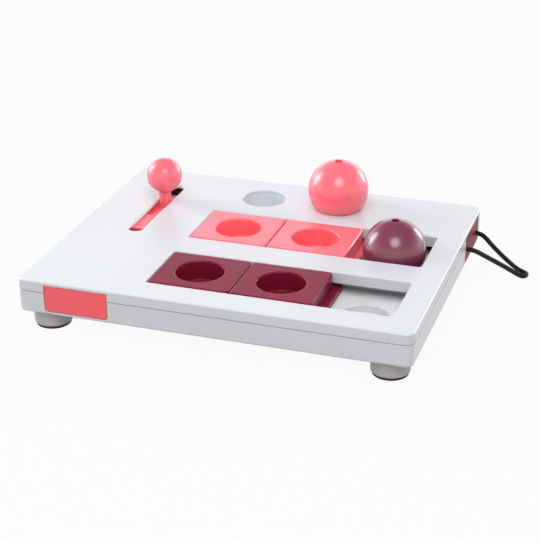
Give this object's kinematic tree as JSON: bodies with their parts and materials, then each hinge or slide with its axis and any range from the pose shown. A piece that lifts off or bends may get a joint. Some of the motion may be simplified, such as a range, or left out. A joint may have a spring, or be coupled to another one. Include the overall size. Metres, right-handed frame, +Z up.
{
  "type": "cat puzzle board",
  "caption": "Cat puzzle board on feet, with sliding cup tiles in channels, lift-off domes, treat cups, a lever-driven drawer and a drawer on a cord loop.",
  "frame": {"origin": "on the ground, midway between the board's ends and between its front and rear edges", "axes": "+X to the right along the board's length, towards the cord; +Y to the rear; +Z up"},
  "size_m": [0.2894, 0.2, 0.0676],
  "materials": {
    "housing_white": "fine satin moulded ABS",
    "deck_white": "satin moulded ABS",
    "tile_plum": "semi-gloss moulded ABS",
    "tile_pink": "satin moulded ABS",
    "dome_pink": "glossy moulded ABS",
    "dome_plum": "glossy moulded ABS",
    "drawer_pink": "satin moulded ABS",
    "knob_pink": "glossy moulded ABS",
    "drawer_plum": "satin moulded ABS",
    "cord_black": "round braided polyester",
    "foot_white": "satin moulded ABS",
    "pad_black": "matt rubber",
    "screw_steel": "zinc-plated steel"
  },
  "bodies": {
    "board": {"base_shell": "housing_white", "floor_ribs": "housing_white", "well_deck": "deck_white", "top_cover": "housing_white", "housing_screws": "screw_steel", "cover_rim": "housing_white", "cover_posts": "housing_white", "channel_wall_front": "housing_white", "channel_wall_rear": "housing_white", "treat_cup_left": "housing_white", "treat_cup_middle": "housing_white", "foot_front_left": "foot_white", "foot_front_right": "foot_white", "foot_rear_left": "foot_white", "foot_rear_right": "foot_white", "foot_pad_front_left": "pad_black", "foot_pad_front_right": "pad_black", "foot_pad_rear_left": "pad_black", "foot_pad_rear_right": "pad_black"},
    "lever_slide": {"lever_drawer": "drawer_pink", "lever_knob": "knob_pink", "lever_screw": "screw_steel"},
    "cord_drawer": {"pull_drawer": "drawer_plum", "pull_cord": "cord_black", "cord_knots": "cord_black"},
    "pink_dome": {"dome_pink": "dome_pink"},
    "plum_dome": {"dome_plum": "dome_plum"},
    "plum_tile_left": {"tile_plum_left": "tile_plum"},
    "plum_tile_right": {"tile_plum_right": "tile_plum"},
    "pink_tile_left": {"tile_pink_left": "tile_pink"},
    "pink_tile_right": {"tile_pink_right": "tile_pink"}
  },
  "joints": [
    {"name": "lever_drawer_slide", "type": "slide", "parent": "board", "child": "lever_slide", "axis": [0, -1, 0], "range_m": [0, 0.052]},
    {"name": "pull_drawer_slide", "type": "slide", "parent": "board", "child": "cord_drawer", "axis": [1, 0, 0], "range_m": [0, 0.05]},
    {"name": "dome_pink_lift", "type": "slide", "parent": "board", "child": "pink_dome", "axis": [0, 0, 1], "range_m": [0, 0.1]},
    {"name": "dome_plum_lift", "type": "slide", "parent": "board", "child": "plum_dome", "axis": [0, 0, 1], "range_m": [0, 0.1]},
    {"name": "tile_plum_left_slide", "type": "slide", "parent": "board", "child": "plum_tile_left", "axis": [1, 0, 0], "range_m": [0, 0.02425]},
    {"name": "tile_plum_right_slide", "type": "slide", "parent": "plum_tile_left", "child": "plum_tile_right", "axis": [1, 0, 0], "range_m": [0, 0.02425]},
    {"name": "tile_pink_left_slide", "type": "slide", "parent": "board", "child": "pink_tile_left", "axis": [1, 0, 0], "range_m": [0, 0.02425]},
    {"name": "tile_pink_right_slide", "type": "slide", "parent": "pink_tile_left", "child": "pink_tile_right", "axis": [1, 0, 0], "range_m": [0, 0.02425]}
  ],
  "couplings": [
    {"joint": "tile_pink_left_slide", "follows": "dome_plum_lift", "ratio": 0.2425},
    {"joint": "tile_pink_right_slide", "follows": "dome_plum_lift", "ratio": 0.2425}
  ]
}
